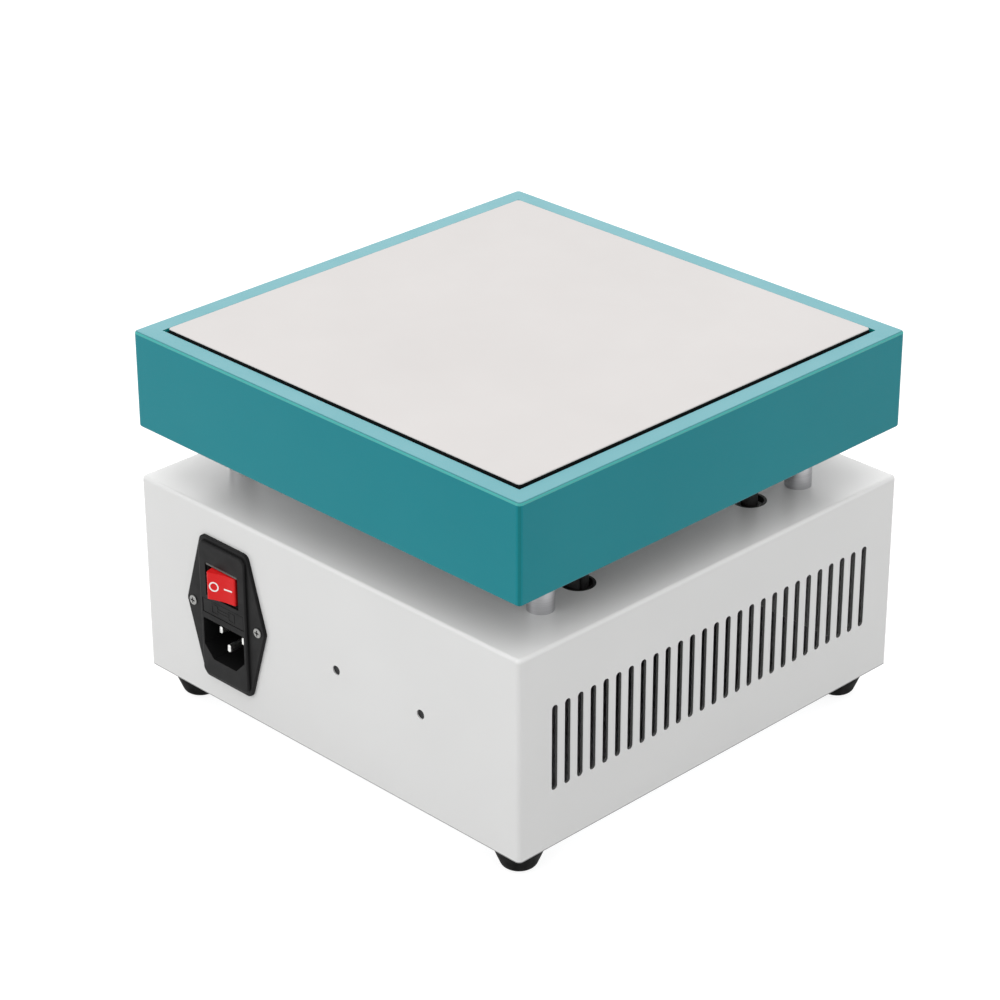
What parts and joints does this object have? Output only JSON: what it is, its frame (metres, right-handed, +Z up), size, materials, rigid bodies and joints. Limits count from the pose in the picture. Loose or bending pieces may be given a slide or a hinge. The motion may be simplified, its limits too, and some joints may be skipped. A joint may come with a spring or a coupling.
{
  "type": "pcb preheater",
  "caption": "Bench preheater for circuit boards: a vented white case with a mains inlet and a controller carries a teal tray on posts, with a square heating plate on top.",
  "frame": {"origin": "on the bench, under the middle of the case", "axes": "+Z up, +Y toward the rear with the mains inlet, -Y toward the front with the controller"},
  "size_m": [0.22, 0.2346, 0.1675],
  "materials": {
    "white_paint": "satin powder coat",
    "zinc_steel": "zinc plate",
    "dark_steel": "blackened",
    "foot_rubber": "matte",
    "brass": "plain",
    "inlet_plastic": "moulded",
    "pin_metal": "nickel plate",
    "rocker_plastic": "moulded",
    "fuse_glass": "clear",
    "relay_metal": "plain",
    "relay_plastic": "moulded",
    "controller_plastic": "moulded",
    "lens_plastic": "clear dark",
    "key_plastic": "moulded",
    "circuit_board": "lacquered",
    "post_aluminium": "turned",
    "bush_plastic": "moulded",
    "lead_sleeve": "woven sleeve",
    "teal_paint": "satin powder coat",
    "insulation": "fibre board",
    "plate_aluminium": "fine blasted",
    "mica": "pressed mica",
    "wire_mains": "insulated wire",
    "wire_earth": "insulated wire",
    "wire_control": "insulated wire",
    "wire_sensor": "insulated wire"
  },
  "bodies": {
    "base": {"base_cover": "white_paint", "base_plate": "zinc_steel", "base_plate_screws": "zinc_steel", "foot_screws": "zinc_steel", "foot_nuts": "zinc_steel", "inlet_screws": "zinc_steel", "inlet_nuts": "zinc_steel", "relay_terminal_screws": "zinc_steel", "terminal_screws": "zinc_steel", "post_lower_screws": "zinc_steel", "post_upper_screws": "zinc_steel", "tray_floor": "zinc_steel", "tray_floor_screws": "zinc_steel", "clamp_plate": "zinc_steel", "clamp_screws": "zinc_steel", "plate_pillars": "zinc_steel", "plate_screws": "zinc_steel", "thermocouple": "zinc_steel", "relay_screws": "dark_steel", "rubber_foot_1": "foot_rubber", "rubber_foot_2": "foot_rubber", "rubber_foot_3": "foot_rubber", "rubber_foot_4": "foot_rubber", "earth_stud": "brass", "inlet_housing": "inlet_plastic", "inlet_pins": "pin_metal", "relay_base": "relay_metal", "relay_body": "relay_plastic", "controller_case": "controller_plastic", "terminal_cap": "controller_plastic", "clamp_frame": "controller_plastic", "key_switches": "controller_plastic", "display_digits": "controller_plastic", "controller_lens": "lens_plastic", "display_board": "circuit_board", "controller_board": "circuit_board", "post_1": "post_aluminium", "post_2": "post_aluminium", "post_3": "post_aluminium", "post_4": "post_aluminium", "lead_bush_1": "bush_plastic", "lead_bush_2": "bush_plastic", "heater_leads": "lead_sleeve", "sensor_lead": "lead_sleeve", "tray_shell": "teal_paint", "insulation_board": "insulation", "heating_plate": "plate_aluminium", "heating_element": "mica", "mains_wires": "wire_mains", "earth_wire": "wire_earth", "control_wires": "wire_control", "sensor_wire": "wire_sensor"},
    "rocker": {"rocker": "rocker_plastic"},
    "fuse_drawer": {"fuse_drawer": "inlet_plastic", "fuse": "fuse_glass"},
    "key_1": {"key_1": "key_plastic"},
    "key_2": {"key_2": "key_plastic"},
    "key_3": {"key_3": "key_plastic"},
    "key_4": {"key_4": "key_plastic"}
  },
  "joints": [
    {"name": "rocker_tilt", "type": "hinge", "parent": "base", "child": "rocker", "pos_m": [0.0575, 0.1086, 0.0706], "axis": [0, 0, 1], "range_deg": [-32, 0]},
    {"name": "fuse_drawer_slide", "type": "slide", "parent": "base", "child": "fuse_drawer", "axis": [0, 1, 0], "range_m": [0, 0.014]},
    {"name": "key_1_press", "type": "slide", "parent": "base", "child": "key_1", "axis": [0, 1, 0], "range_m": [0, 0.0005], "stiffness_N_per_m": 600},
    {"name": "key_2_press", "type": "slide", "parent": "base", "child": "key_2", "axis": [0, 1, 0], "range_m": [0, 0.0005], "stiffness_N_per_m": 600},
    {"name": "key_3_press", "type": "slide", "parent": "base", "child": "key_3", "axis": [0, 1, 0], "range_m": [0, 0.0005], "stiffness_N_per_m": 600},
    {"name": "key_4_press", "type": "slide", "parent": "base", "child": "key_4", "axis": [0, 1, 0], "range_m": [0, 0.0005], "stiffness_N_per_m": 600}
  ]
}
